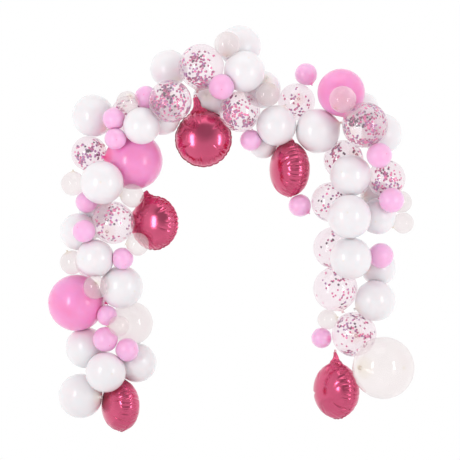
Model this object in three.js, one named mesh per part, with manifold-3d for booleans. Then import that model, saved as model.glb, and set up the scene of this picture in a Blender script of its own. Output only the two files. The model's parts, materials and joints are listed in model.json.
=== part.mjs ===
// Balloon garland in the shape of an arch, made to be fixed to a wall.
// Millimetres, +Z up, +X to the right as one faces it. The wall is the plane y = 0 and the garland
// stands in front of it, at negative y. Heights in the layout are measured from its lowest point.
import * as THREE from "three";
import { ConvexGeometry } from "three/addons/geometries/ConvexGeometry.js";
import { mergeVertices } from "three/addons/utils/BufferGeometryUtils.js";
import Module from "manifold-3d";

const wasm = await Module();
wasm.setup();

// ---- Driving dimensions -------------------------------------------------------------------------

const PRESS = 8; // how deep two neighbours press into each other, shared by both
const WALL_PRESS = 6; // how deep a rear balloon presses against the wall
const GAP = 0.3; // left between the flats of two balloons that press on each other
const WELD = 0.4; // how far the flats of two balloons of one bunch reach into each other
const FRONT = 900; // where a balloon starts when it is laid on from the front
const SLIDE_STEP = 1; // step of the slide back from there
const SOFT_PRESS = 12; // the press that the ties draw neighbours towards
const DRAW_REACH = 30; // gap within which the ties draw two neighbours together
const ROUNDS = 80; // rounds of drawing together
const DRAW = 0.3; // share of a gap that closes in one round
const PUSH = 0.4; // share of too deep a press that is given up in one round
const SIDEWAYS = 0.4; // how freely a balloon moves sideways and up or down, next to in depth
const ANCHOR = 0.09; // pull back to the place across and up that the layout gives, in one round
const FLAT_SIDES = 5; // corners of the flat where two balloons press on each other
const TIE_REACH = 0.16; // how far the tied end stands past a latex balloon, as a share of its radius
const TIE_RADIUS = 9; // half the width of the tied end
const TIE_TRIES = 300; // directions tried for a tied end
const TIE_LEAST = -0.2; // cosine of the widest angle by which a tied end turns away from its own way
const END_ROOM = 60; // how far from a balloon its tied end may still meet another one

// The garland's centre line: half an ellipse on two straight legs.
const HEART_DEPTH = 210; // in front of the wall
const LEG_OFFSET = 760; // from the middle of the arch
const SPRING_HEIGHT = 1500; // where the legs turn into the crown
const CROWN_RISE = 620;

const FOIL_FLATNESS = 0.63; // a round foil balloon's half thickness, as a share of its radius
const TAB = { length: 84, width: 32, thickness: 6, sunk: 30 }; // a foil balloon's filling neck

// Rings of a foil balloon's surface: how far out, as a share of its radius, and how many points.
const FOIL_RINGS = [
  { out: 1, count: 18 },
  { out: 0.93, count: 14 },
  { out: 0.75, count: 10 },
  { out: 0.4, count: 6 },
];

// Each kind of balloon: its radius when filled in the usual way, and how many points its surface gets.
const KINDS = {
  white: { radius: 127, points: 37, color: 0xf3f1f2, roughness: 0.35, metalness: 0, opacity: 1 },
  confetti: { radius: 127, points: 37, color: 0xf2d3e2, roughness: 0.1, metalness: 0, opacity: 0.45 },
  clear: { radius: 130, points: 37, color: 0xf1e7e4, roughness: 0.1, metalness: 0, opacity: 0.45 },
  big_clear: { radius: 186, points: 68, color: 0xf1e7e4, roughness: 0.1, metalness: 0, opacity: 0.55 },
  big_pink: { radius: 174, points: 64, color: 0xff7fbf, roughness: 0.3, metalness: 0, opacity: 1 },
  small_pink: { radius: 68, points: 24, color: 0xf9addb, roughness: 0.35, metalness: 0, opacity: 1 },
  small_clear: { radius: 68, points: 24, color: 0xf3e6e3, roughness: 0.1, metalness: 0, opacity: 0.5 },
  foil: { radius: 174, points: 0, color: 0xcc4267, roughness: 0.2, metalness: 0.85, opacity: 1 },
};

// ---- Layout -------------------------------------------------------------------------------------

// One line for each balloon: the solid it belongs to, its kind, where its centre is across and up,
// its fill as a share of the kind's radius, and its layer, from 0 at the wall to 3 in front.
// Balloons that share a name are pressed together for good and make one solid.
// The last value holds what only some have: standOff, how far the balloon is kept off the wall;
// tie, the direction of its tied end; and turn, how far a foil balloon's face looks to the left.
const LAYOUT = [
  // Left foot
  ["left_foot_foil", "foil", -665, 165, 0.94, 0, { turn: 60 }],
  ["left_foot_white_cluster", "white", -555, 430, 0.94, 1],
  ["left_foot_white_cluster", "white", -910, 220, 1.06, 1],
  ["left_foot_white_cluster", "white", -870, 510, 0.98, 1],
  ["left_foot_white_cluster", "white", -740, 370, 0.96, 2],
  ["left_foot_small_pink_pair", "small_pink", -755, 568, 1.12, 3, { tie: [-0.6, 0.8, 0.1] }],
  ["left_foot_small_pink_pair", "small_pink", -605, 512, 1.04, 3, { tie: [-0.6, 0.6, -0.5] }],

  // Left leg
  ["left_leg_white_cluster", "white", -820, 1355, 0.82, 0],
  ["left_leg_confetti_low", "confetti", -830, 1035, 0.82, 0],
  ["left_leg_clear", "clear", -595, 670, 1.02, 1],
  ["left_leg_big_pink", "big_pink", -930, 780, 0.98, 1],
  ["left_leg_foil", "foil", -450, 1270, 0.95, 1, { standOff: 60, turn: 28, tie: [-0.4, 0, 1] }],
  ["left_leg_white_cluster", "white", -915, 1230, 0.9, 1],
  ["left_leg_small_pair_outer", "small_clear", -945, 1515, 1.06, 1, { standOff: 150, tie: [0, 0, 1] }],
  ["left_leg_small_clear_lower", "small_clear", -950, 1040, 1.06, 1, { tie: [-0.1, 0, 1] }],
  ["left_leg_small_pair_outer", "small_pink", -862, 1428, 0.98, 1, { tie: [0.5, 0.8, -0.2] }],
  ["left_leg_white_cluster", "white", -640, 890, 1.02, 2],
  ["left_leg_white_cluster", "white", -803, 1058, 0.9, 2],
  ["left_leg_confetti_high", "confetti", -685, 1270, 1.01, 2],
  ["left_leg_white_high", "white", -760, 1525, 1.02, 2],
  ["left_leg_small_pink_middle", "small_pink", -875, 1230, 1.0, 3, { tie: [0.4, 0.8, -0.5] }],
  ["left_leg_small_pair_inner", "small_clear", -540, 1140, 1.03, 3],
  ["left_leg_small_pair_inner", "small_pink", -640, 1065, 0.97, 3, { standOff: 150, tie: [-0.6, 0.7, 0.4] }],
  ["left_leg_small_clear_front", "small_clear", -795, 885, 1.05, 3],
  ["left_leg_small_pair_low", "small_pink", -745, 725, 0.91, 3, { tie: [0.1, 0.8, 0.6] }],
  ["left_leg_small_pair_low", "small_clear", -655, 665, 0.91, 3],

  // Left shoulder
  ["left_shoulder_big_pink", "big_pink", -575, 1640, 1.01, 0],
  ["left_shoulder_white_outer", "white", -830, 1930, 1.01, 0],
  ["left_shoulder_white_back", "white", -400, 1915, 0.86, 0, { standOff: 40 }],
  ["left_shoulder_confetti_low", "confetti", -865, 1695, 0.85, 1, { tie: [1, -0.4, 0.2] }],
  ["left_shoulder_confetti_high", "confetti", -610, 1945, 0.84, 1],
  ["left_shoulder_small_pair_high", "small_pink", -500, 2052, 1.0, 1, { standOff: 210 }],
  ["left_shoulder_white_front", "white", -520, 1845, 0.88, 2],
  ["left_shoulder_confetti_front", "confetti", -350, 1995, 1.01, 2],
  ["left_shoulder_small_pink_pair", "small_pink", -685, 1780, 0.97, 2],
  ["left_shoulder_small_pink_pair", "small_pink", -695, 1890, 1.0, 3, { tie: [0.7, 0.6, 0.4] }],
  ["left_shoulder_small_pair_high", "small_clear", -605, 2000, 0.97, 3],
  ["left_shoulder_small_clear_inner", "small_clear", -575, 1445, 1.06, 3],

  // Crown
  ["crown_white_back", "white", -110, 2040, 0.91, 0],
  ["crown_foil", "foil", -150, 1785, 1.0, 0, { turn: 4, tie: [-0.1, 0, 1] }],
  ["right_shoulder_white_cluster", "white", 210, 1760, 0.7, 0],
  ["crown_white_left", "white", -372, 2215, 0.9, 1],
  ["crown_confetti_left", "confetti", -170, 2210, 1.08, 1],
  ["crown_white_cluster", "white", 65, 2345, 1.01, 1],
  ["crown_white_cluster", "white", 200, 2095, 0.9, 1],
  ["crown_confetti_middle", "confetti", 55, 1930, 0.98, 1],
  ["crown_small_pink_low", "small_pink", 130, 1765, 0.95, 1],
  ["crown_confetti_right", "confetti", 415, 2015, 0.89, 1],
  ["crown_small_pink_right", "small_pink", 470, 2185, 1.0, 1, { standOff: 45, tie: [0, 0, -1] }],
  ["crown_white_cluster", "white", 90, 2185, 0.98, 2],
  ["right_shoulder_white_cluster", "white", 275, 1855, 0.96, 2],
  ["crown_small_clear_left", "small_clear", -10, 2345, 1.15, 3],
  ["crown_small_pink_left", "small_pink", -45, 2100, 1.13, 3, { tie: [0.1, 0.8, 0.5] }],
  ["crown_small_clear_right", "small_clear", 240, 2055, 1.07, 3],

  // Right shoulder
  ["right_shoulder_foil", "foil", 365, 1595, 1.0, 0, { turn: 67 }],
  ["right_shoulder_white_pair", "white", 810, 1965, 0.82, 0],
  ["right_shoulder_big_pink", "big_pink", 670, 2065, 0.82, 1, { tie: [0, 0, -1] }],
  ["right_shoulder_white_pair", "white", 920, 1815, 0.97, 1],
  ["right_shoulder_confetti_low", "confetti", 700, 1655, 0.96, 1],
  ["right_shoulder_small_pink_low", "small_pink", 420, 1375, 1.0, 1, { standOff: 90 }],
  ["right_shoulder_white_cluster", "white", 540, 1830, 1.06, 2],
  ["right_shoulder_confetti_front", "confetti", 810, 1850, 1.07, 2],
  ["right_shoulder_small_clear", "small_clear", 665, 2005, 1.18, 3],

  // Right leg
  ["right_leg_white_cluster", "white", 900, 1430, 0.82, 0],
  ["right_leg_confetti_outer", "confetti", 945, 1550, 0.9, 1],
  ["right_leg_confetti_inner", "confetti", 620, 1400, 0.95, 1, { standOff: 100 }],
  ["right_leg_white_cluster", "white", 880, 1305, 0.87, 1],
  ["right_leg_confetti_pair", "confetti", 640, 1125, 1.01, 1],
  ["right_foot_white_pair", "white", 910, 995, 0.84, 1],
  ["right_leg_white_high", "white", 725, 1565, 0.98, 2],
  ["right_leg_white_cluster", "white", 715, 1310, 1.03, 2],
  ["right_leg_white_cluster", "white", 720, 1060, 0.99, 2],
  ["right_leg_small_clear_pair", "small_clear", 1050, 1400, 1.0, 2],
  ["right_leg_small_clear_pair", "small_clear", 1055, 1270, 0.95, 2, { standOff: 85 }],
  ["right_leg_small_pink_high", "small_pink", 888, 1668, 1.1, 3],
  ["right_leg_small_pink_middle", "small_pink", 965, 1410, 1.1, 3],
  ["right_leg_small_pink_low", "small_pink", 920, 1080, 1.12, 3, { tie: [-0.8, 0.6, 0] }],

  // Right foot
  ["right_leg_confetti_pair", "confetti", 640, 875, 1.06, 1, { tie: [0.1, -0.2, -1] }],
  ["right_foot_confetti_low", "confetti", 765, 595, 1.08, 1],
  ["right_foot_small_pair", "small_clear", 595, 685, 0.91, 1, { standOff: 70 }],
  ["right_foot_small_pair", "small_pink", 550, 570, 0.91, 1, { standOff: 70 }],
  ["right_foot_foil", "foil", 645, 255, 1.01, 1, { turn: 53, tie: [0, 0, 1] }],
  ["right_foot_white_pair", "white", 885, 805, 0.97, 2],
  ["right_foot_big_clear", "big_clear", 925, 410, 1.0, 2],
];

// The balloon whose flat on the wall is the part's origin.
const ORIGIN_BALLOON = "crown_white_back";

// ---- Balloons and how they press on each other --------------------------------------------------

function balloonOf([name, kindName, across, up, fill, layer, extra = {}]) {
  const kind = KINDS[kindName];
  const radius = kind.radius * fill;
  const isFoil = kindName === "foil";
  const turn = THREE.MathUtils.degToRad(extra.turn ?? 0);
  return {
    name,
    kind,
    isFoil,
    radius,
    layer,
    points: kind.points,
    halfDepth: isFoil ? radius * FOIL_FLATNESS : radius,
    axis: new THREE.Vector3(-Math.sin(turn), -Math.cos(turn), 0), // a foil balloon's, out of its face
    standOff: extra.standOff ?? -WALL_PRESS,
    tie: extra.tie,
    centre: new THREE.Vector3(across, 0, up),
  };
}

// How far a balloon's surface reaches from its centre along a unit direction, measured to the plane
// that touches it there.
function reach(balloon, direction) {
  const along = direction.dot(balloon.axis);
  const across2 = 1 - along * along;
  return Math.sqrt(balloon.radius ** 2 * across2 + balloon.halfDepth ** 2 * along * along);
}

// The point of the surface, from the centre, that such a plane touches.
function farthest(balloon, direction) {
  const along = direction.dot(balloon.axis);
  const side = direction.clone().addScaledVector(balloon.axis, -along);
  return side
    .multiplyScalar(balloon.radius ** 2)
    .addScaledVector(balloon.axis, along * balloon.halfDepth ** 2)
    .divideScalar(reach(balloon, direction));
}

// The direction in which two balloons are best told apart, and how far apart they are along it,
// which is less than nothing where they press on each other.
function separation(a, b) {
  const between = b.centre.clone().sub(a.centre);
  const direction = between.clone().normalize();
  if (a.isFoil || b.isFoil) {
    const rounds = 40;
    for (let i = 0; i < rounds; i += 1) {
      const miss = between.clone().sub(farthest(a, direction)).sub(farthest(b, direction));
      direction.addScaledVector(miss, 0.4 / (a.radius + b.radius)).normalize();
    }
  }
  const distance = between.dot(direction) - reach(a, direction) - reach(b, direction);
  return { direction, distance };
}

// A balloon is laid on from the front: it slides back until it presses on those behind it, or on the
// wall, or is as near the wall as it may come.
function settle(balloon, placed) {
  const rearmost = -balloon.standOff - reach(balloon, new THREE.Vector3(0, 1, 0));
  balloon.centre.y = -FRONT;
  const blocked = () => placed.some((other) => separation(balloon, other).distance < -PRESS);
  while (!blocked() && balloon.centre.y + SLIDE_STEP <= rearmost) {
    balloon.centre.y += SLIDE_STEP;
  }
  balloon.isOnWall = balloon.standOff < 0 && balloon.centre.y + SLIDE_STEP > rearmost;
}

// The ties pull the balloons together: neighbours that nearly touch draw near until they press on each
// other, and those pressed too hard give way. They move mostly in depth, and those on the wall stay on it.
function drawTogether(balloons) {
  const anchors = balloons.map((balloon) => balloon.centre.clone());
  for (let round = 0; round < ROUNDS; round += 1) {
    for (const [i, a] of balloons.entries()) {
      for (const b of balloons.slice(i + 1)) {
        if (a.centre.distanceTo(b.centre) > a.radius + b.radius + DRAW_REACH) continue;
        const { direction, distance } = separation(a, b);
        if (distance > DRAW_REACH) continue;
        const share = distance > -SOFT_PRESS ? DRAW : PUSH;
        const step = direction.multiplyScalar(share * (distance + SOFT_PRESS));
        step.x *= SIDEWAYS;
        step.z *= SIDEWAYS;
        a.centre.addScaledVector(step, b.radius / (a.radius + b.radius));
        b.centre.addScaledVector(step, -a.radius / (a.radius + b.radius));
      }
    }
    for (const [i, balloon] of balloons.entries()) {
      const onWall = WALL_PRESS - reach(balloon, new THREE.Vector3(0, 1, 0));
      balloon.centre.y = balloon.isOnWall ? onWall : Math.min(balloon.centre.y, onWall);
      balloon.centre.x += (anchors[i].x - balloon.centre.x) * ANCHOR;
      balloon.centre.z += (anchors[i].z - balloon.centre.z) * ANCHOR;
    }
  }
}

const balloons = LAYOUT.map(balloonOf);
const placed = [];
for (const balloon of [...balloons].sort((a, b) => a.layer - b.layer)) {
  settle(balloon, placed);
  placed.push(balloon);
}
drawTogether(balloons);

// ---- The tied ends ------------------------------------------------------------------------------

// A latex balloon's tied end points into the garland where its neighbours leave room for it, or the
// way that the layout says. Where there is no room it is folded flat, and no end stands out.
function tiedEnd(balloon, walls) {
  const length = balloon.radius * (1 + TIE_REACH);
  const inward = heartPoint(balloon).sub(balloon.centre).normalize();
  const wanted = balloon.tie ? new THREE.Vector3(...balloon.tie).normalize() : inward;
  const isFree = (way) => {
    const tip = balloon.centre.clone().addScaledVector(way, length);
    return walls.every((wall) => wall.distanceToPoint(tip) < -TIE_RADIUS);
  };
  const free = evenDirections(TIE_TRIES).filter(isFree);
  if (isFree(wanted)) free.push(wanted);
  if (free.length === 0) return null;
  const way = free.reduce((best, next) => (next.dot(wanted) > best.dot(wanted) ? next : best));
  return way.dot(wanted) > TIE_LEAST ? way : null;
}

// The nearest point to a balloon on the garland's centre line, which runs up one leg, over the crown
// in half an ellipse and down the other leg.
function heartPoint(balloon) {
  const { x, z } = balloon.centre;
  if (z < SPRING_HEIGHT) return new THREE.Vector3(Math.sign(x) * LEG_OFFSET, -HEART_DEPTH, z);
  const angle = Math.atan2((z - SPRING_HEIGHT) / CROWN_RISE, x / LEG_OFFSET);
  const across = LEG_OFFSET * Math.cos(angle);
  return new THREE.Vector3(across, -HEART_DEPTH, SPRING_HEIGHT + CROWN_RISE * Math.sin(angle));
}

// ---- Solids -------------------------------------------------------------------------------------

// Unit directions spread evenly, along a spiral from pole to pole that turns by the golden angle.
function evenDirections(count) {
  const goldenAngle = Math.PI * (3 - Math.sqrt(5));
  return Array.from({ length: count }, (_, i) => {
    const height = 1 - (2 * i + 1) / count;
    const width = Math.sqrt(1 - height * height);
    return new THREE.Vector3(width * Math.cos(i * goldenAngle), width * Math.sin(i * goldenAngle), height);
  });
}

// Two unit vectors at right angles to a direction and to each other.
function sideways(direction) {
  const helper = Math.abs(direction.z) < 0.9 ? new THREE.Vector3(0, 0, 1) : new THREE.Vector3(1, 0, 0);
  const first = new THREE.Vector3().crossVectors(helper, direction).normalize();
  return [first, new THREE.Vector3().crossVectors(direction, first)];
}

function onCircle(centre, [first, second], radius, angle) {
  return centre
    .clone()
    .addScaledVector(first, radius * Math.cos(angle))
    .addScaledVector(second, radius * Math.sin(angle));
}

// The points of a balloon's full shape: a ball, or the two bowls of a foil balloon that meet in a rim.
function surfacePoints(balloon) {
  if (!balloon.isFoil) {
    return evenDirections(balloon.points).map((way) =>
      balloon.centre.clone().addScaledVector(way, balloon.radius),
    );
  }
  const points = [];
  const sides = sideways(balloon.axis);
  for (const { out, count } of FOIL_RINGS) {
    const rise = balloon.halfDepth * Math.sqrt(1 - out * out);
    for (const face of rise > 0 ? [1, -1] : [1]) {
      const middle = balloon.centre.clone().addScaledVector(balloon.axis, face * rise);
      for (let i = 0; i < count; i += 1) {
        points.push(onCircle(middle, sides, balloon.radius * out, (2 * Math.PI * i) / count));
      }
    }
  }
  return points;
}

// How far the surface is from a point inside the balloon, in a given direction.
function wayOut(balloon, from, direction) {
  const scale = (v) => {
    const along = v.dot(balloon.axis);
    return v
      .clone()
      .addScaledVector(balloon.axis, -along)
      .divideScalar(balloon.radius)
      .addScaledVector(balloon.axis, along / balloon.halfDepth);
  };
  const start = scale(from.clone().sub(balloon.centre));
  const step = scale(direction);
  const a = step.dot(step);
  const b = start.dot(step);
  const c = start.dot(start) - 1;
  return (-b + Math.sqrt(Math.max(b * b - a * c, 0))) / a;
}

// The corners of the flat where a plane cuts a balloon's surface.
function flatPoints(balloon, wall) {
  const middle = balloon.centre.clone().add(farthest(balloon, wall.normal));
  wall.projectPoint(middle, middle);
  const sides = sideways(wall.normal);
  return Array.from({ length: FLAT_SIDES }, (_, i) => {
    const edge = onCircle(new THREE.Vector3(), sides, 1, (2 * Math.PI * i) / FLAT_SIDES);
    return middle.clone().addScaledVector(edge, wayOut(balloon, middle, edge));
  });
}

// The plane between two neighbours, looking away from the first. Each keeps to its own side of it.
function wallBetween(a, b) {
  const { direction, distance } = separation(a, b);
  const share = b.radius / (a.radius + b.radius);
  const inset = a.name === b.name ? -WELD / 2 : GAP / 2;
  const offset = reach(a, direction) + distance * share - inset;
  const point = a.centre.clone().addScaledVector(direction, offset);
  const wall = new THREE.Plane().setFromNormalAndCoplanarPoint(direction, point);
  return Object.assign(wall, { pressed: distance < -GAP });
}

// The planes that a balloon keeps behind: one for each neighbour near enough for a tied end to reach,
// and the wall that the garland hangs on.
function wallsAround(balloon) {
  const near = balloons.filter(
    (other) =>
      other !== balloon &&
      other.centre.distanceTo(balloon.centre) < other.radius + balloon.radius + END_ROOM,
  );
  const backWall = new THREE.Plane(new THREE.Vector3(0, 1, 0), 0);
  const onWall = balloon.centre.y + reach(balloon, backWall.normal) > GAP;
  return [...near.map((other) => wallBetween(balloon, other)), Object.assign(backWall, { pressed: onWall })];
}

// The foil balloon's flat filling neck, sunk into its rim.
function tabGeometry(balloon) {
  const up = balloon.tie ? new THREE.Vector3(...balloon.tie) : new THREE.Vector3(0, 0, 1);
  const way = up.addScaledVector(balloon.axis, -up.dot(balloon.axis)).normalize();
  const across = new THREE.Vector3().crossVectors(balloon.axis, way);
  const middle = balloon.radius + (TAB.length - TAB.sunk) / 2;
  const frame = new THREE.Matrix4().makeBasis(across, balloon.axis, way);
  frame.setPosition(balloon.centre.clone().addScaledVector(way, middle));
  return new THREE.BoxGeometry(TAB.width, TAB.thickness, TAB.length + TAB.sunk).applyMatrix4(frame);
}

function solidOf(geometry) {
  geometry.deleteAttribute("normal");
  geometry.deleteAttribute("uv");
  const merged = mergeVertices(geometry, 1e-3);
  const vertProperties = new Float32Array(merged.attributes.position.array);
  const triVerts = merged.index
    ? new Uint32Array(merged.index.array)
    : Uint32Array.from({ length: vertProperties.length / 3 }, (_, i) => i);
  return new wasm.Manifold(new wasm.Mesh({ numProp: 3, vertProperties, triVerts }));
}

// A balloon's solid: the hull of its surface points, the corners of its flats and its tied end, each
// on its own side of every plane around it.
function balloonSolid(balloon) {
  const walls = wallsAround(balloon);
  const end = balloon.isFoil ? null : tiedEnd(balloon, walls);
  const points = surfacePoints(balloon);
  for (const wall of walls.filter(({ pressed }) => pressed)) points.push(...flatPoints(balloon, wall));
  if (end) {
    const tip = balloon.centre.clone().addScaledVector(end, balloon.radius * (1 + TIE_REACH));
    for (let i = 0; i < 3; i += 1) {
      points.push(onCircle(tip, sideways(end), TIE_RADIUS, (2 * Math.PI * i) / 3));
    }
  }
  const tolerance = 1e-6;
  const kept = points.filter((point) => walls.every((wall) => wall.distanceToPoint(point) < tolerance));
  const body = solidOf(new ConvexGeometry(kept));
  if (!balloon.isFoil) return body;
  const tab = walls.reduce(
    (solid, wall) => solid.trimByPlane(wall.normal.clone().negate().toArray(), wall.constant),
    solidOf(tabGeometry(balloon)),
  );
  return body.add(tab);
}

function geometryOf(solid) {
  const { vertProperties, triVerts } = solid.getMesh();
  return new THREE.BufferGeometry()
    .setAttribute("position", new THREE.BufferAttribute(vertProperties, 3))
    .setIndex(new THREE.BufferAttribute(triVerts, 1));
}

function materialOf({ color, roughness, metalness, opacity }) {
  return new THREE.MeshStandardMaterial({
    color,
    roughness,
    metalness,
    opacity,
    transparent: opacity < 1,
    flatShading: true,
  });
}

// ---- The garland --------------------------------------------------------------------------------

const garland = new THREE.Group();
for (const name of new Set(balloons.map((balloon) => balloon.name))) {
  const bunch = balloons.filter((balloon) => balloon.name === name);
  const solid = bunch.map(balloonSolid).reduce((whole, next) => whole.add(next));
  const mesh = new THREE.Mesh(geometryOf(solid), materialOf(bunch[0].kind));
  mesh.name = name;
  garland.add(mesh);
}

const part = new THREE.Group();
const originBalloon = balloons.find((balloon) => balloon.name === ORIGIN_BALLOON);
garland.position.set(-originBalloon.centre.x, 0, -originBalloon.centre.z);
part.add(garland);

export default part;
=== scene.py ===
"""The looks of the balloon garland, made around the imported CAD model.

Every balloon's centre, size and tied end are read off its CAD solid, where the points of one balloon
lie on one ball, or on one flattened ball for a foil balloon. Metres, +Z up, the wall is y = 0.
"""
import json
import math
from dataclasses import dataclass, field

import bpy
import numpy as np
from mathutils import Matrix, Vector


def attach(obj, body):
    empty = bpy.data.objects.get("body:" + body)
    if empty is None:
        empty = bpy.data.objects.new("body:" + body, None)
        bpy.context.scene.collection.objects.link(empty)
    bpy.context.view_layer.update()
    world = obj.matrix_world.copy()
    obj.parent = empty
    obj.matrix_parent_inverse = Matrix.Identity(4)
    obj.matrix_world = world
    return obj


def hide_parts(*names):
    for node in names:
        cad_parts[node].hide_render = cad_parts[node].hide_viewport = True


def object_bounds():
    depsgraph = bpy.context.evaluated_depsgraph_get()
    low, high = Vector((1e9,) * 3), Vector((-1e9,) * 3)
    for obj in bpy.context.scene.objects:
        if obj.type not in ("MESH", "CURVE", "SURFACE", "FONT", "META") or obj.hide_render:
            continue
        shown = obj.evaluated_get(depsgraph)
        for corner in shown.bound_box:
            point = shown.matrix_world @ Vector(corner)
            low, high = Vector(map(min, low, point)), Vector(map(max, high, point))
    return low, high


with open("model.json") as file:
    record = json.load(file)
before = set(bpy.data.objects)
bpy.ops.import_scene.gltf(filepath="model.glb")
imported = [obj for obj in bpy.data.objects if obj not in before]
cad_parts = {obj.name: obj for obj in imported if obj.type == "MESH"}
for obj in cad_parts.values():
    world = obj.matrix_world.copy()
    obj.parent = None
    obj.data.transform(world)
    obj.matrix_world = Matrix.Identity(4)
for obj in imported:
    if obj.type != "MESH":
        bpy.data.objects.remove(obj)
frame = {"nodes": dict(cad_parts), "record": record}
cad_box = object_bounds()

# ---- Reading the balloons off the CAD solids ------------------------------------------------------

SEED = 7
LEAST_POINTS = 14  # fewer points than this on one ball are leftovers, not a balloon
TRIES, POINTS_TRIED = 150, 5  # guesses for each ball, and the points that each guess goes through
FOIL_TRIES, FOIL_POINTS_TRIED = 300, 11
LARGEST_RADIUS = 0.25
ON_BALL = 0.0008  # how near a ball a point has to be to belong to it
TIP_NEAREST, TIP_FARTHEST = 1.12, 1.2  # where a tied end's points are, in radii
NECK_NEAREST = 1.05  # where a filling neck's points start, in radii
UP = np.array([0.0, 0.0, 1.0])
TOWARDS_WALL = np.array([0.0, 1.0, 0.0])
USUAL_TIE = np.array([0.2, 0.9, 0.3])  # where a tied end points that is not found on its solid

# In these pairs of small balloons, the upper one and the lower one differ.
MIXED_PAIRS = {
    "left_leg_small_pair_outer": ("clear_latex", "light_pink_latex"),
    "left_leg_small_pair_inner": ("clear_latex", "light_pink_latex"),
    "left_leg_small_pair_low": ("light_pink_latex", "clear_latex"),
    "left_shoulder_small_pair_high": ("light_pink_latex", "clear_latex"),
    "right_foot_small_pair": ("clear_latex", "light_pink_latex"),
}


@dataclass
class Balloon:
    node: str
    name: str
    slot: str
    centre: np.ndarray
    radius: float
    tie: np.ndarray  # unit vector towards the tied end, or the filling neck of a foil balloon, or None
    axis: np.ndarray  # a foil balloon's, out of its face
    depth: float  # half its thickness
    walls: list = field(default_factory=list)

    @property
    def is_foil(self):
        return self.slot == "pink_foil"


def unit(vector):
    return vector / np.linalg.norm(vector)


def cad_points(node):
    """A CAD node's vertices, each once."""
    points = np.array([vertex.co for vertex in frame["nodes"][node].data.vertices])
    return np.unique(np.round(points, 6), axis=0)


def ball_through(points):
    """Centre and radius of the ball that fits some points best."""
    rows = np.hstack([2 * points, np.ones((len(points), 1))])
    answer = np.linalg.lstsq(rows, (points**2).sum(axis=1), rcond=None)[0]
    centre = answer[:3]
    return centre, math.sqrt(max(answer[3] + centre @ centre, 0))


def on_ball(points, centre, radius):
    return abs(np.linalg.norm(points - centre, axis=1) - radius) < ON_BALL


def next_ball(points, rng):
    """The ball that the most points lie on, found from guesses through neighbouring points."""
    best = np.zeros(len(points), bool)
    for _ in range(TRIES):
        seed = points[rng.integers(len(points))]
        near = np.argsort(((points - seed) ** 2).sum(axis=1))[:LEAST_POINTS]
        centre, radius = ball_through(points[rng.choice(near, POINTS_TRIED, replace=False)])
        if radius < LARGEST_RADIUS:
            on = on_ball(points, centre, radius)
            if on.sum() > best.sum():
                best = on
    return best


def balls_of(points):
    """Each ball in a node, as its centre, radius and the way to its tied end."""
    rng = np.random.default_rng(SEED)
    balls = []
    while len(points) >= LEAST_POINTS:
        on = next_ball(points, rng)
        if on.sum() < LEAST_POINTS:
            break
        centre, radius = ball_through(points[on])
        points = points[~on_ball(points, centre, radius)]
        # Where two balloons are joined, the corners of their seam lie on a ball of their own inside.
        if all(np.linalg.norm(centre - ball[0]) > max(radius, ball[1]) for ball in balls):
            balls.append((centre, radius))
    found = []
    for centre, radius in balls:
        far = np.linalg.norm(points - centre, axis=1) / radius
        tips = points[(far > TIP_NEAREST) & (far < TIP_FARTHEST)]
        found.append((centre, radius, unit(tips.mean(axis=0) - centre) if len(tips) else None))
    return sorted(found, key=lambda ball: -ball[0][2])


def flattened_ball_of(points):
    """A foil balloon's centre, radius, axis and half thickness, and the way to its filling neck."""
    rng = np.random.default_rng(SEED)
    middle = points.mean(axis=0)
    scale = np.ptp(points, axis=0).max() / 2
    x, y, z = ((points - middle) / scale).T
    rows = np.stack([x * x, y * y, z * z, 2 * x * y, 2 * x * z, 2 * y * z, 2 * x, 2 * y, 2 * z], axis=1)

    def fit(chosen):
        return np.linalg.lstsq(rows[chosen], np.ones(len(rows[chosen])), rcond=None)[0]

    best = np.zeros(len(points), bool)
    for _ in range(FOIL_TRIES):
        terms = fit(rng.choice(len(points), FOIL_POINTS_TRIED, replace=False))
        on = abs(rows @ terms - 1) < ON_BALL / scale
        if on.sum() > best.sum():
            best = on
    xx, yy, zz, xy, xz, yz, *linear = fit(best)
    square = np.array([[xx, xy, xz], [xy, yy, yz], [xz, yz, zz]])
    offset = -np.linalg.solve(square, linear)
    strengths, directions = np.linalg.eigh(square / (1 + offset @ square @ offset))
    centre = middle + offset * scale
    axis = directions[:, 2] * (1 if directions[1, 2] < 0 else -1)
    radius, depth = scale / np.sqrt(strengths[0]), scale / np.sqrt(strengths[2])
    beyond = np.linalg.norm(points - centre, axis=1) > radius * NECK_NEAREST
    neck = points[~best & beyond].mean(axis=0) - centre
    return centre, radius, axis, depth, unit(neck - axis * (neck @ axis))


def read_balloons():
    """Every balloon in the frame, node by node."""
    slots = {row["node"]: row["material_slot"] for row in frame["record"]["subparts"]}
    balloons = []
    for node in sorted(frame["nodes"]):
        points = cad_points(node)
        if slots[node] == "pink_foil":
            centre, radius, axis, depth, neck = flattened_ball_of(points)
            balloons.append(Balloon(node, node + "_balloon", "pink_foil", centre, radius, neck, axis, depth))
            continue
        balls = balls_of(points)
        for i, (centre, radius, tie) in enumerate(balls):
            slot = MIXED_PAIRS[node][i] if node in MIXED_PAIRS else slots[node]
            name = f"{node}_balloon_{i + 1}" if len(balls) > 1 else f"{node}_balloon"
            balloons.append(Balloon(node, name, slot, centre, radius, tie, TOWARDS_WALL, radius))
    return balloons


# ---- How they press on each other -----------------------------------------------------------------

GAP = 0.0003  # between the flats of two balloons that press on each other
SEPARATION_ROUNDS = 40
SEPARATION_STEP = 0.4


def reach(balloon, direction):
    """How far a balloon reaches from its centre, to the plane that touches it in this direction."""
    along = direction @ balloon.axis
    return math.sqrt(balloon.radius**2 * (1 - along**2) + balloon.depth**2 * along**2)


def farthest(balloon, direction):
    """The point, from the centre, where that plane touches it."""
    along = direction @ balloon.axis
    side = direction - along * balloon.axis
    return (side * balloon.radius**2 + balloon.axis * along * balloon.depth**2) / reach(balloon, direction)


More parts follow.
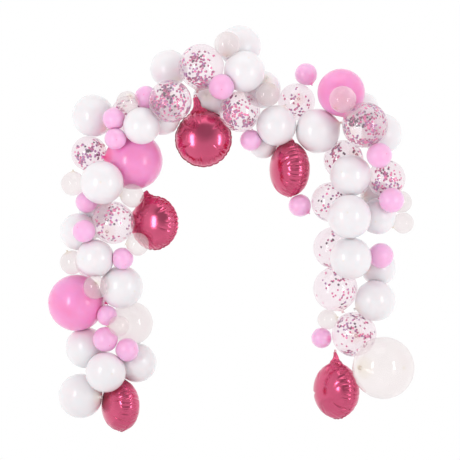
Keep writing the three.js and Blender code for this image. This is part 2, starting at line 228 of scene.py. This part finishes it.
def separation(a, b):
    """The direction that tells two balloons apart best, and how far apart they are along it."""
    between = b.centre - a.centre
    direction = unit(between)
    if a.is_foil or b.is_foil:
        for _ in range(SEPARATION_ROUNDS):
            miss = between - farthest(a, direction) - farthest(b, direction)
            direction = unit(direction + miss * SEPARATION_STEP / (a.radius + b.radius))
    return direction, between @ direction - reach(a, direction) - reach(b, direction)


def find_walls(balloons):
    """Gives each balloon the planes that it is pressed flat on, as a direction and a distance."""
    for balloon in balloons:
        for other in balloons:
            touching = balloon.radius + other.radius
            if other is balloon or np.linalg.norm(other.centre - balloon.centre) > touching:
                continue
            direction, distance = separation(balloon, other)
            if distance < 0:
                pressed = distance * other.radius / touching
                balloon.walls.append((direction, reach(balloon, direction) + pressed - GAP / 2))
        if balloon.centre[1] + reach(balloon, TOWARDS_WALL) > 0:
            balloon.walls.append((TOWARDS_WALL, -balloon.centre[1]))


def press(walls, points, softness):
    """Points given from a balloon's centre, pressed behind its walls with a soft edge."""
    for direction, distance in walls:
        past = points @ direction - distance
        kept = (past - np.sqrt(past**2 + softness**2)) / 2
        points = points - np.outer(past - kept, direction)
    return points


# ---- Shader helpers -------------------------------------------------------------------------------


def new_material(name):
    material = bpy.data.materials.new(name)
    material.use_nodes = True
    return material, material.node_tree, material.node_tree.nodes["Principled BSDF"]


def set_values(shader, **values):
    for name, value in values.items():
        shader.inputs[name.replace("_", " ")].default_value = value


def noise(tree, scale, detail=3.0, roughness=0.5, stretch=(1, 1, 1)):
    """A noise texture in the garland's own coordinates."""
    place = tree.nodes.new("ShaderNodeTexCoord")
    mapping = tree.nodes.new("ShaderNodeMapping")
    texture = tree.nodes.new("ShaderNodeTexNoise")
    mapping.inputs["Scale"].default_value = stretch
    set_values(texture, Scale=scale, Detail=detail, Roughness=roughness)
    tree.links.new(place.outputs["Object"], mapping.inputs["Vector"])
    tree.links.new(mapping.outputs["Vector"], texture.inputs["Vector"])
    return texture.outputs["Fac"]


def ramp(tree, value, stops):
    """A colour ramp over a value."""
    node = tree.nodes.new("ShaderNodeValToRGB")
    elements = node.color_ramp.elements
    while len(elements) < len(stops):
        elements.new(0.5)
    for element, (position, color) in zip(elements, stops):
        element.position = position
        element.color = (*color, 1.0)
    tree.links.new(value, node.inputs["Fac"])
    return node.outputs["Color"]


def blend_colors(tree, share, first, second):
    node = tree.nodes.new("ShaderNodeMix")
    node.data_type = "RGBA"
    tree.links.new(share, node.inputs["Factor"])
    for socket, color in ((node.inputs["A"], first), (node.inputs["B"], second)):
        if isinstance(color, tuple):
            socket.default_value = (*color, 1.0)
        else:
            tree.links.new(color, socket)
    return node.outputs["Result"]


def add_bump(tree, shader, height, strength, distance):
    bump = tree.nodes.new("ShaderNodeBump")
    set_values(bump, Strength=strength, Distance=distance)
    tree.links.new(height, bump.inputs["Height"])
    tree.links.new(bump.outputs["Normal"], shader.inputs["Normal"])


def attribute(tree, name):
    node = tree.nodes.new("ShaderNodeAttribute")
    node.attribute_name = name
    return node.outputs["Fac"]


# ---- Materials ------------------------------------------------------------------------------------


def latex_material(name, thin, thin_again, thick, glow, roughness):
    """Stretched latex: of two colours in clouds where it is thin, and of a third at the tied end and the
    crown, where it is thick. The glow is how far red, green and blue light go inside."""
    material, tree, shader = new_material(name)
    cloud = noise(tree, scale=9, detail=4)
    body = ramp(tree, cloud, [(0.35, thin), (0.7, thin_again)])
    color = blend_colors(tree, attribute(tree, "thickness"), body, thick)
    tree.links.new(color, shader.inputs["Base Color"])
    set_values(
        shader,
        Roughness=roughness,
        Subsurface_Weight=0.9,
        Subsurface_Radius=glow,
        Subsurface_Scale=0.05,
        Coat_Weight=0.6,
        Coat_Roughness=0.12,
    )
    add_bump(tree, shader, noise(tree, scale=260, detail=2), strength=0.04, distance=0.0008)
    return material


def clear_material(name, middle, edge, thick, clearness):
    """Clear latex: seen through, a little milky, darker where one looks along the skin."""
    material, tree, shader = new_material(name)
    facing = tree.nodes.new("ShaderNodeLayerWeight")
    facing.inputs["Blend"].default_value = 0.35
    skin = ramp(tree, facing.outputs["Facing"], [(0.0, middle), (0.55, middle), (0.97, edge)])
    color = blend_colors(tree, attribute(tree, "thickness"), skin, thick)
    tree.links.new(color, shader.inputs["Base Color"])
    set_values(
        shader,
        Roughness=0.02,
        IOR=1.01,
        Transmission_Weight=clearness,
        Coat_Weight=1.0,
        Coat_Roughness=0.06,
        Coat_IOR=1.5,
    )
    return material


def foil_material():
    """Metallised film, with fine creases that run every way."""
    material, tree, shader = new_material("rose_foil")
    stain = noise(tree, scale=6, detail=3)
    color = ramp(tree, stain, [(0.3, (0.62, 0.08, 0.18)), (0.75, (0.71, 0.11, 0.23))])
    tree.links.new(color, shader.inputs["Base Color"])
    set_values(shader, Metallic=1.0, Roughness=0.2, Coat_Weight=0.45, Coat_Roughness=0.08)
    add_bump(tree, shader, noise(tree, scale=30, detail=4, roughness=0.6), strength=0.13, distance=0.004)
    return material


def dot_material(name, color, roughness):
    """Shiny confetti, a little darker in places."""
    material, tree, shader = new_material(name)
    darker = tuple(channel * 0.8 for channel in color)
    shade = ramp(tree, noise(tree, scale=90, detail=1), [(0.3, color), (0.7, darker)])
    tree.links.new(shade, shader.inputs["Base Color"])
    set_values(shader, Metallic=0.3, Roughness=roughness)
    return material


def floor_material():
    material, tree, shader = new_material("pale_floor")
    color = ramp(tree, noise(tree, scale=2), [(0.3, (0.86, 0.86, 0.86)), (0.7, (0.89, 0.89, 0.89))])
    tree.links.new(color, shader.inputs["Base Color"])
    set_values(shader, Roughness=0.8)
    return material


MATERIALS = {
    "white_latex": latex_material(
        "white_latex",
        thin=(0.885, 0.865, 0.885),
        thin_again=(0.865, 0.835, 0.86),
        thick=(0.86, 0.8, 0.74),
        glow=(1.0, 0.8, 0.8),
        roughness=0.3,
    ),
    "light_pink_latex": latex_material(
        "light_pink_latex",
        thin=(0.99, 0.54, 0.8),
        thin_again=(0.99, 0.49, 0.75),
        thick=(0.93, 0.2, 0.5),
        glow=(1.0, 0.6, 0.8),
        roughness=0.33,
    ),
    "hot_pink_latex": latex_material(
        "hot_pink_latex",
        thin=(1.0, 0.345, 0.68),
        thin_again=(1.0, 0.28, 0.57),
        thick=(0.92, 0.09, 0.32),
        glow=(1.0, 0.5, 0.7),
        roughness=0.3,
    ),
    "clear_latex": clear_material(
        "clear_latex",
        middle=(0.94, 0.89, 0.89),
        edge=(0.7, 0.59, 0.61),
        thick=(0.85, 0.75, 0.6),
        clearness=0.8,
    ),
    "confetti_latex": clear_material(
        "confetti_latex",
        middle=(0.97, 0.89, 0.925),
        edge=(0.76, 0.5, 0.62),
        thick=(0.85, 0.62, 0.62),
        clearness=0.84,
    ),
    "pink_foil": foil_material(),
}
DOTS = [
    dot_material("lilac_dots", (0.42, 0.15, 0.42), 0.35),
    dot_material("pink_dots", (0.88, 0.15, 0.4), 0.35),
    dot_material("magenta_dots", (0.5, 0.05, 0.22), 0.3),
    dot_material("plum_dots", (0.07, 0.012, 0.055), 0.3),
]

# ---- Mesh helpers ---------------------------------------------------------------------------------


def add_piece(name, points, faces, materials, balloon, thickness=None, material_of=None):
    """A mesh that rides on the garland and stands for the balloon's CAD node. It is smooth, unless it is
    told the material of each face."""
    mesh = bpy.data.meshes.new(name)
    mesh.from_pydata([tuple(point) for point in points], [], faces)
    for material in materials:
        mesh.materials.append(material)
    for i, polygon in enumerate(mesh.polygons):
        polygon.use_smooth = material_of is None
        if material_of is not None:
            polygon.material_index = material_of[i]
    if thickness is not None:
        mesh.attributes.new("thickness", "FLOAT", "POINT").data.foreach_set("value", thickness)
    mesh.update()
    piece = bpy.data.objects.new(name, mesh)
    bpy.context.scene.collection.objects.link(piece)
    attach(piece, "root")
    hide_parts(balloon.node)
    return piece


def across(direction):
    """Two unit vectors at right angles to a direction and to each other."""
    helper = UP if abs(direction[2]) < 0.9 else np.array([1.0, 0.0, 0.0])
    first = unit(np.cross(helper, direction))
    return first, np.cross(direction, first)


def band_faces(rings, segments):
    """Faces between rings of points, closed at the start and the end by the two points after them."""
    faces = []
    for ring in range(rings - 1):
        for i in range(segments):
            j = (i + 1) % segments
            low, high = ring * segments, (ring + 1) * segments
            faces.append((low + i, low + j, high + j, high + i))
    start, end = rings * segments, rings * segments + 1
    last = (rings - 1) * segments
    for i in range(segments):
        j = (i + 1) % segments
        faces.append((start, j, i))
        faces.append((end, last + i, last + j))
    return faces


def turned(balloon, profile, segments):
    """A surface of revolution about the balloon's tied end. The profile goes from the crown, as the
    distance along the axis and the distance from it, and starts and ends on the axis."""
    first, second = across(balloon.tie)
    angles = np.arange(segments) * 2 * math.pi / segments
    ring = np.outer(np.cos(angles), first) + np.outer(np.sin(angles), second)
    rings = [along * balloon.tie + out * ring for along, out in profile[1:-1]]
    poles = [profile[0][0] * balloon.tie, profile[-1][0] * balloon.tie]
    points = np.vstack([*rings, poles])
    return points, band_faces(len(rings), segments)


# ---- Latex balloons -------------------------------------------------------------------------------

NECK_ANGLE = math.radians(24)  # where the ball leaves off and the cone to the knot starts
CROWN_ANGLES = [0.8, 1.6, 2.4, 3.4, 4.8, 7.0]  # degrees, close rings for the thick spot at the crown
SPOT = math.radians(2.6)
THICKER_FROM, THICKENING = math.radians(135), math.radians(45)  # towards the tied end
PRESS_EDGE = 0.004  # roundness of the edge of a flat
SPOT_RISE = 0.006  # these are shares of the balloon's radius
NECK_RADIUS = 0.04
KNOT_LENGTH = 0.083
CONE_STEPS = (0.25, 0.5, 0.72, 0.88, 1.0)  # shares of the cone, from the ball to the knot
KNOT_SHAPE = [
    (0.12, 0.62),
    (0.3, 0.8),
    (0.46, 0.66),
    (0.54, 0.45),
    (0.7, 0.6),
    (0.9, 0.95),
    (1.0, 1.0),
    (1.0, 0.8),
    (0.8, 0.4),
]  # the distance along the knot and the distance from its axis, as shares of its length
KNOT_HOLLOW = 0.7  # where the middle of its end is, along it
SMALL_RADIUS = 0.09  # balloons below this have the smaller mesh
SMALL_MESH, LARGE_MESH = (44, 26), (68, 36)  # segments and rings


def latex_profile(radius, rings):
    """The balloon's half outline, and how thick its latex looks at each point, from 0 to 1."""
    body = [math.radians(angle) for angle in CROWN_ANGLES]
    body += list(np.linspace(body[-1], math.pi - NECK_ANGLE, rings)[1:])
    profile = [(-radius * (1 + SPOT_RISE), 0.0)]
    thickness = [1.0]
    for angle in body:
        spot = math.exp(-((angle / SPOT) ** 2))
        size = radius * (1 + SPOT_RISE * spot)
        profile.append((-size * math.cos(angle), size * math.sin(angle)))
        near_neck = max(0.0, (angle - THICKER_FROM) / THICKENING)
        thickness.append(max(spot, near_neck**2 * 0.5))
    start_along, start_out = profile[-1]
    neck = radius * NECK_RADIUS
    cone = (start_out - neck) * math.tan(NECK_ANGLE)
    for share in CONE_STEPS:
        profile.append((start_along + cone * share, start_out + (neck - start_out) * share))
        thickness.append(0.3 + 0.7 * share)
    knot = radius * KNOT_LENGTH
    end = start_along + cone
    profile += [(end + knot * along, knot * out) for along, out in KNOT_SHAPE]
    profile.append((end + knot * KNOT_HOLLOW, 0.0))
    thickness += [1.0] * (len(KNOT_SHAPE) + 1)
    return profile, thickness


def latex_piece(balloon):
    """A latex balloon with its knot, pressed flat where it touches its neighbours and the wall."""
    segments, rings = SMALL_MESH if balloon.radius < SMALL_RADIUS else LARGE_MESH
    profile, thickness = latex_profile(balloon.radius, rings)
    points, faces = turned(balloon, profile, segments)
    points = press(balloon.walls, points, PRESS_EDGE) + balloon.centre
    values = [value for value in thickness[1:-1] for _ in range(segments)] + [thickness[0], thickness[-1]]
    material = MATERIALS[balloon.slot]
    return add_piece(balloon.name, points, faces, [material], balloon, thickness=values)


# ---- Confetti -------------------------------------------------------------------------------------

DOT_RADIUS = 0.0074
DOT_SIZES = (0.85, 1.1)  # from the smallest dot to the largest, as shares of that radius
DOT_THICKNESS = 0.0004
DOT_SIDES = 10
DOT_TILT = 0.14
DOT_PRESS_EDGE = 0.02
CLING = 0.955  # how far out the dots cling, as a share of the balloon's radius
CLUSTERS = 9
CLUSTERED = 0.82  # the share of the dots that lie in clusters
CLUSTER_LENGTH, CLUSTER_WIDTH = 0.42, 0.13  # radians
CLUSTERS_LEAN = np.array([0, -0.7, -0.1])  # there are more clusters on this side
LOOSE_LEAN = np.array([0, 0, -0.25])  # and more loose dots on this one
FRONT = np.array([-0.15, -0.9, 0.35])  # where the darkest cluster is
FRONT_SCATTER = 0.12
DARK_MIX = (0.05, 0.05, 0.3, 0.6)
MIXES = [
    (0.62, 0.24, 0.1, 0.04),
    (0.26, 0.56, 0.16, 0.02),
    (0.3, 0.3, 0.32, 0.08),
]  # the shares of the colours in DOTS, for the other clusters


def dot_points(place, normal, size):
    """The edges of both faces of a round dot."""
    first, second = across(normal)
    points = []
    for side in (-DOT_THICKNESS / 2, DOT_THICKNESS / 2):
        for i in range(DOT_SIDES):
            angle = 2 * math.pi * i / DOT_SIDES
            edge = size * (math.cos(angle) * first + math.sin(angle) * second)
            points.append(place + edge + normal * side)
    return points


def dot_faces(start):
    """Both faces of a dot whose points start at this number, and the sides between them."""
    low = list(range(start, start + DOT_SIDES))
    high = [i + DOT_SIDES for i in low]
    faces = [tuple(reversed(low)), tuple(high)]
    for i in range(DOT_SIDES):
        j = (i + 1) % DOT_SIDES
        faces.append((low[i], low[j], high[j], high[i]))
    return faces


def confetti_piece(balloon, count, dark_count, rng):
    """Round dots that cling to the inside of the skin, in streaky clusters of like colours."""
    clusters = []
    for number in range(CLUSTERS):
        middle = unit(rng.normal(size=3) + CLUSTERS_LEAN)
        streak = unit(np.cross(middle, rng.normal(size=3)))
        clusters.append((middle, streak, MIXES[number % len(MIXES)]))
    dark_cluster = (unit(FRONT + rng.normal(size=3) * FRONT_SCATTER), unit(rng.normal(size=3)), DARK_MIX)
    points, faces, materials = [], [], []
    for number in range(count):
        is_dark = number < dark_count
        middle, streak, mix = dark_cluster if is_dark else clusters[rng.integers(CLUSTERS)]
        if is_dark or rng.random() < CLUSTERED:
            spread = rng.normal(size=3) * CLUSTER_WIDTH + streak * rng.normal() * CLUSTER_LENGTH
            way = unit(middle + spread)
        else:
            way = unit(rng.normal(size=3) + LOOSE_LEAN)
            mix = MIXES[1]
        place = press(balloon.walls, (way * balloon.radius * CLING)[None], DOT_PRESS_EDGE)[0] + balloon.centre
        normal = unit(way + rng.normal(size=3) * DOT_TILT)
        size = DOT_RADIUS * rng.uniform(*DOT_SIZES)
        dot = dot_faces(len(points))
        points += dot_points(place, normal, size)
        faces += dot
        materials += [int(rng.choice(len(DOTS), p=mix))] * len(dot)
    name = balloon.name + "_confetti"
    return add_piece(name, points, faces, DOTS, balloon, material_of=materials)


# ---- Foil balloons --------------------------------------------------------------------------------

FOIL_SEGMENTS = 432
FOIL_RINGS = 32  # on each face
FOIL_ROUNDNESS = 0.92  # below 1, the face is fuller than a flattened ball
CRIMPS = 28
CRIMP_WIDTH = 0.22  # these are shares of the space between two crimps
CRIMP_SCATTER = 0.3
CRIMP_STRENGTHS = (0.4, 1.0)
CRIMP_STARTS = (0.68, 0.86)  # these are shares of the radius
LONG_CRIMP_STARTS = (0.4, 0.55)
LONG_CRIMP_EVERY = 5
NO_CRIMP_START = 0.75
CRIMP_IN, CRIMP_IN_AT_WELD = 0.035, 0.04  # how far a crimp draws the face in, and the weld
GATHER_START = 0.55
PUCKER_START = 0.85
SHOULDER = 0.035  # how far the rim rises to the neck
SHOULDER_WIDTH = 0.2  # radians
GATHERS = 36  # small folds beside the neck, if they went all around
PUCKERS = 70  # small ones, all along the weld
PUCKER_STRENGTHS = (0.4, 1)
CRIMP_DEEP, GATHER_DEEP, PUCKER_DEEP = 0.4, 0.12, 0.16  # shares of the face's height
FLANGE = 0.006  # the flat weld around the rim
FLANGE_THICKNESS = 0.0006
FLANGE_WAVE = 0.0014
PLEATS = 9  # the gathers of the neck


def crimp_pattern(angles, rng):
    """For each angle around the rim, how near it is to a crimp, from 0 to 1, and where the crimp starts,
    as a share of the radius."""
    spacing = 2 * math.pi / CRIMPS
    places = np.arange(CRIMPS) * spacing + rng.uniform(-CRIMP_SCATTER, CRIMP_SCATTER, CRIMPS) * spacing
    strengths = rng.uniform(*CRIMP_STRENGTHS, CRIMPS)
    starts = rng.uniform(*CRIMP_STARTS, CRIMPS)
    long_ones = slice(None, None, LONG_CRIMP_EVERY)
    starts[long_ones] = rng.uniform(*LONG_CRIMP_STARTS, len(starts[long_ones]))
    fold = np.zeros(len(angles))
    start = np.full(len(angles), NO_CRIMP_START)
    for place, strength, inner in zip(places, strengths, starts):
        apart = abs((angles - place + math.pi) % (2 * math.pi) - math.pi)
        here = strength * np.exp(-apart / (CRIMP_WIDTH * spacing))
        start = np.where(here > fold, inner, start)
        fold = np.maximum(fold, here)
    return fold, start


def rises_from(start, out):
    """0 up to the start, then rising to 1 at the rim."""
    return np.clip((out - start) / (1 - start), 0, 1)


def foil_points(balloon, rng):
    """Both faces and the weld, as rings from the middle of the front face round to the back."""
    angles = np.arange(FOIL_SEGMENTS) * 2 * math.pi / FOIL_SEGMENTS
    side = np.cross(balloon.tie, balloon.axis)
    ring = np.outer(np.cos(angles), balloon.tie) + np.outer(np.sin(angles), side)
    fold, start = crimp_pattern(angles, rng)
    from_neck = (angles + math.pi) % (2 * math.pi) - math.pi
    shoulder = np.exp(-((from_neck / SHOULDER_WIDTH) ** 2))
    gathers = shoulder * (0.5 + 0.5 * np.cos(from_neck * GATHERS))
    ripples = 0.5 + 0.5 * np.sin(angles * PUCKERS + 3 * np.sin(angles * 4))
    puckers = ripples * rng.uniform(*PUCKER_STRENGTHS, FOIL_SEGMENTS)
    rim = balloon.radius - FLANGE
    rings = []
    for face in (1, -1):
        rows = []
        for tilt in (np.linspace(0, 1, FOIL_RINGS) ** 0.8 * math.pi / 2)[1:]:
            out, rise = math.sin(tilt), math.cos(tilt)
            crimp = fold * rises_from(start, out) ** 1.5
            gather = gathers * rises_from(GATHER_START, out)
            pucker = puckers * rises_from(PUCKER_START, out) ** 0.7
            radial = rim * out * (1 - CRIMP_IN * crimp + SHOULDER * shoulder * out**8)
            kept = 1 - CRIMP_DEEP * crimp - GATHER_DEEP * gather - PUCKER_DEEP * pucker
            height = np.maximum(balloon.depth * rise**FOIL_ROUNDNESS * kept, FLANGE_THICKNESS / 2)
            rows.append(radial[:, None] * ring + face * height[:, None] * balloon.axis)
        rings += rows if face > 0 else list(reversed(rows))
        if face > 0:
            wave = FLANGE_WAVE * np.sin(angles * CRIMPS * 1.5) * (0.5 + fold)
            weld = rim * (1 - CRIMP_IN_AT_WELD * fold + SHOULDER * shoulder) + FLANGE
            for half in (1, -1):
                raised = wave + half * FLANGE_THICKNESS / 2
                rings.append(weld[:, None] * ring + raised[:, None] * balloon.axis)
    poles = [balloon.depth * balloon.axis, -balloon.depth * balloon.axis]
    return np.vstack([*rings, poles]), band_faces(len(rings), FOIL_SEGMENTS)


def foil_piece(balloon, rng):
    """A foil balloon without its filling neck, pressed flat where it touches its neighbours."""
    points, faces = foil_points(balloon, rng)
    points = press(balloon.walls, points, PRESS_EDGE) + balloon.centre
    return add_piece(balloon.name, points, faces, [MATERIALS["pink_foil"]], balloon)


NECK_LENGTH = 0.056  # beyond the rim
# These necks lie in front of the balloons behind them. The others are tucked in beside their neighbours.
FREE_NECKS = {"crown_foil": 0.08, "right_foot_foil": NECK_LENGTH}
NECK_ROWS, NECK_COLUMNS = 36, 72
NECK_SUNK = 0.03  # how far its root is sunk in the rim
NECK_TIP, NECK_ROOT = 0.033, 0.1  # its widths
NECK_FLARE = 0.02  # how quickly it narrows from one to the other
NECK_DEPTH = 0.018  # half its thickness at the rim
NECK_PLEAT_DEEP = 0.32  # a share of its thickness
NECK_LOBE = 0.0035  # how far its one edge swells in and out
NECK_RIPPLE = 0.002
NECK_CURL = 0.008
FILM = 0.0008
EYELET, EYELET_TUBE = 0.0075, 0.0022  # the ring at the end of the neck
EYELET_AROUND, EYELET_SIDES = 24, 8
CLEAR_OF = 0.002  # how far the neck stays off its neighbours
NECK_REACH = 0.12
TUCKING_ROUNDS = 6
TUCKING_EDGE = 0.001


def eyelet(balloon, length):
    """The ring at the end of the filling neck, as points and faces."""
    side = np.cross(balloon.tie, balloon.axis)
    middle = balloon.tie * (balloon.radius + length + EYELET) + balloon.axis * NECK_CURL
    points = []
    for i in range(EYELET_AROUND):
        turn = 2 * math.pi * i / EYELET_AROUND
        way = math.cos(turn) * side + math.sin(turn) * balloon.tie
        for j in range(EYELET_SIDES):
            tube = 2 * math.pi * j / EYELET_SIDES
            out = EYELET + EYELET_TUBE * math.cos(tube)
            points.append(middle + way * out + balloon.axis * EYELET_TUBE * math.sin(tube))
    faces = []
    for i in range(EYELET_AROUND):
        for j in range(EYELET_SIDES):
            here, after = i * EYELET_SIDES, (i + 1) % EYELET_AROUND * EYELET_SIDES
            k = (j + 1) % EYELET_SIDES
            faces.append((here + j, after + j, after + k, here + k))
    return np.array(points), faces


def laid_in_front(points, balloon, balloons):
    """A neck's points, moved forward out of the latex balloons behind it."""
    points = points + balloon.centre
    for other in balloons:
        if other.is_foil:
            continue
        apart = points - other.centre
        forward = apart @ balloon.axis
        beside = np.linalg.norm(apart - np.outer(forward, balloon.axis), axis=1)
        surface = np.sqrt(np.maximum((other.radius + CLEAR_OF) ** 2 - beside**2, 0))
        inside = (beside < other.radius) & (abs(forward) < surface)
        points = points + np.outer(np.where(inside, surface - forward, 0), balloon.axis)
    return points


def tucked_in(points, balloon, balloons):
    """A neck's points, kept on the foil balloon's side of every balloon that the neck could reach."""
    walls = []
    for other in balloons:
        touching = balloon.radius + other.radius
        if other is balloon or np.linalg.norm(other.centre - balloon.centre) > touching + NECK_REACH:
            continue
        direction, distance = separation(balloon, other)
        share = other.radius / touching if distance < 0 else 1
        walls.append((direction, reach(balloon, direction) + distance * share - CLEAR_OF))
    for _ in range(TUCKING_ROUNDS):
        points = press(walls, points, TUCKING_EDGE)
    return points + balloon.centre


def neck_piece(balloon, balloons):
    """The filling neck: a cone of gathers where it leaves the rim, that flattens towards its end."""
    side = np.cross(balloon.tie, balloon.axis)
    length = FREE_NECKS.get(balloon.node, NECK_LENGTH)
    angles = np.arange(NECK_COLUMNS) * 2 * math.pi / NECK_COLUMNS
    pleats = 1 + NECK_PLEAT_DEEP * np.cos(angles * PLEATS * 2)
    rings = []
    for share in np.linspace(0, 1, NECK_ROWS):
        beyond = length * share - NECK_SUNK * (1 - share)
        flare = math.exp(-max(beyond, 0.0) / NECK_FLARE)
        lobe = NECK_LOBE * math.sin(share * 11)
        half_width = (NECK_TIP + (NECK_ROOT - NECK_TIP) * flare) / 2
        half_depth = FILM + (NECK_DEPTH - FILM) * flare**1.3
        across_it = half_width * np.cos(angles) + lobe * (np.cos(angles) > 0)
        through_it = -half_depth * np.sin(angles) * pleats
        through_it += NECK_CURL * share**2 + NECK_RIPPLE * np.cos(angles * 3) * share
        middle = (balloon.radius + beyond) * balloon.tie
        rings.append(middle + np.outer(across_it, side) + np.outer(through_it, balloon.axis))
    poles = [rings[0].mean(axis=0), rings[-1].mean(axis=0)]
    ring_points, ring_faces = eyelet(balloon, length)
    faces = band_faces(NECK_ROWS, NECK_COLUMNS)
    before = NECK_ROWS * NECK_COLUMNS + len(poles)
    faces += [tuple(before + i for i in face) for face in ring_faces]
    lay = laid_in_front if balloon.node in FREE_NECKS else tucked_in
    points = lay(np.vstack([*rings, poles, ring_points]), balloon, balloons)
    return add_piece(balloon.name + "_neck", points, faces, [MATERIALS["pink_foil"]], balloon)


# ---- The garland ----------------------------------------------------------------------------------

# How many dots a confetti balloon holds, and how many of them are in a dark cluster in front.
CONFETTI = {
    "left_shoulder_confetti_front": (420, 60),
    "left_shoulder_confetti_low": (140, 16),
    "crown_confetti_left": (220, 18),
    "crown_confetti_middle": (300, 5),
    "crown_confetti_right": (50, 0),
    "right_shoulder_confetti_front": (430, 66),
    "right_shoulder_confetti_low": (170, 6),
    "right_leg_confetti_outer": (150, 16),
    "left_leg_confetti_high": (120, 5),
    "right_foot_confetti_low": (160, 5),
}
USUAL_CONFETTI = (90, 5)

balloons = read_balloons()
find_walls(balloons)
for number, balloon in enumerate(balloons):
    rng = np.random.default_rng(SEED + number)
    if balloon.is_foil:
        foil_piece(balloon, rng)
        neck_piece(balloon, balloons)
        continue
    if balloon.tie is None:
        balloon.tie = unit(USUAL_TIE)
    latex_piece(balloon)
    if balloon.slot == "confetti_latex":
        confetti_piece(balloon, *CONFETTI.get(balloon.node, USUAL_CONFETTI), rng)

# ---- Floor, light and camera ----------------------------------------------------------------------

low, high = Vector(cad_box[0]), Vector(cad_box[1])
middle = (low + high) / 2

FLOOR_DROP = 0.35  # the garland hangs this far above it
FLOOR_RADIUS = 1.25
FLOOR_THICKNESS = 0.02
CAMERA_DISTANCE = 11.0
FARTHEST_SEEN = 100
VIEW_WIDTH = 2.76
AIM = Vector((-0.006, 0, -0.009))  # from the middle of the garland
SENSOR = 36.0  # millimetres
DIM_PATCH = Vector((0.0, -1.0, 0.5))  # the way from the garland to the dim part of the studio
STUDIO = [(0.0, 1.0), (0.35, 0.9), (0.78, 0.8), (0.94, 0.41)]  # the cosine to that way, and how bright

bpy.ops.mesh.primitive_cylinder_add(
    vertices=128,
    radius=FLOOR_RADIUS,
    depth=FLOOR_THICKNESS,
    location=(middle.x, middle.y, low.z - FLOOR_DROP - FLOOR_THICKNESS / 2),
)
floor = bpy.context.object
floor.name = "floor"
floor.data.materials.append(floor_material())


def soft_box(name, azimuth, height, distance, width, tall, power):
    """A soft box on a stand, that looks at the middle of the garland. Azimuth 0 is the camera's."""
    light = bpy.data.lights.new(name, "AREA")
    light.shape = "RECTANGLE"
    light.size, light.size_y = width, tall
    light.energy = power
    lamp = bpy.data.objects.new(name, light)
    bpy.context.scene.collection.objects.link(lamp)
    angle = math.radians(azimuth)
    lamp.location = middle + Vector((math.sin(angle) * distance, -math.cos(angle) * distance, height))
    lamp.rotation_euler = (middle - lamp.location).to_track_quat("-Z", "Y").to_euler()


soft_box("left_soft_box", azimuth=-38, height=0.3, distance=4.6, width=0.8, tall=2.2, power=40)
soft_box("right_soft_box", azimuth=44, height=0.2, distance=4.8, width=0.6, tall=2.2, power=34)
soft_box("top_soft_box", azimuth=0, height=3.4, distance=1.2, width=2.4, tall=2.4, power=14)


def studio_world():
    """A studio that is white to look at, also through a clear balloon, and dim above the camera, where
    the foil balloons mirror it."""
    world = bpy.data.worlds.new("studio")
    bpy.context.scene.world = world
    world.use_nodes = True
    tree = world.node_tree
    background = tree.nodes["Background"]
    place = tree.nodes.new("ShaderNodeTexCoord")
    towards = tree.nodes.new("ShaderNodeVectorMath")
    towards.operation = "DOT_PRODUCT"
    towards.inputs[1].default_value = DIM_PATCH.normalized()
    tree.links.new(place.outputs["Generated"], towards.inputs[0])
    stops = [(cosine, (bright, bright, bright)) for cosine, bright in STUDIO]
    walls = ramp(tree, towards.outputs["Value"], stops)
    rays = tree.nodes.new("ShaderNodeLightPath")
    seen = tree.nodes.new("ShaderNodeMath")
    seen.operation = "MAXIMUM"
    tree.links.new(rays.outputs["Is Camera Ray"], seen.inputs[0])
    tree.links.new(rays.outputs["Is Transmission Ray"], seen.inputs[1])
    color = blend_colors(tree, seen.outputs["Value"], walls, (1.0, 1.0, 1.0))
    tree.links.new(color, background.inputs["Color"])


studio_world()

camera_data = bpy.data.cameras.new("camera")
camera_data.sensor_width = SENSOR
camera_data.lens = SENSOR * CAMERA_DISTANCE / VIEW_WIDTH
camera_data.clip_end = FARTHEST_SEEN
camera = bpy.data.objects.new("camera", camera_data)
bpy.context.scene.collection.objects.link(camera)
camera.location = middle + AIM + Vector((0, -CAMERA_DISTANCE, 0))
camera.rotation_euler = (math.pi / 2, 0, 0)
bpy.context.scene.camera = camera
bpy.context.scene.view_settings.view_transform = "Standard"
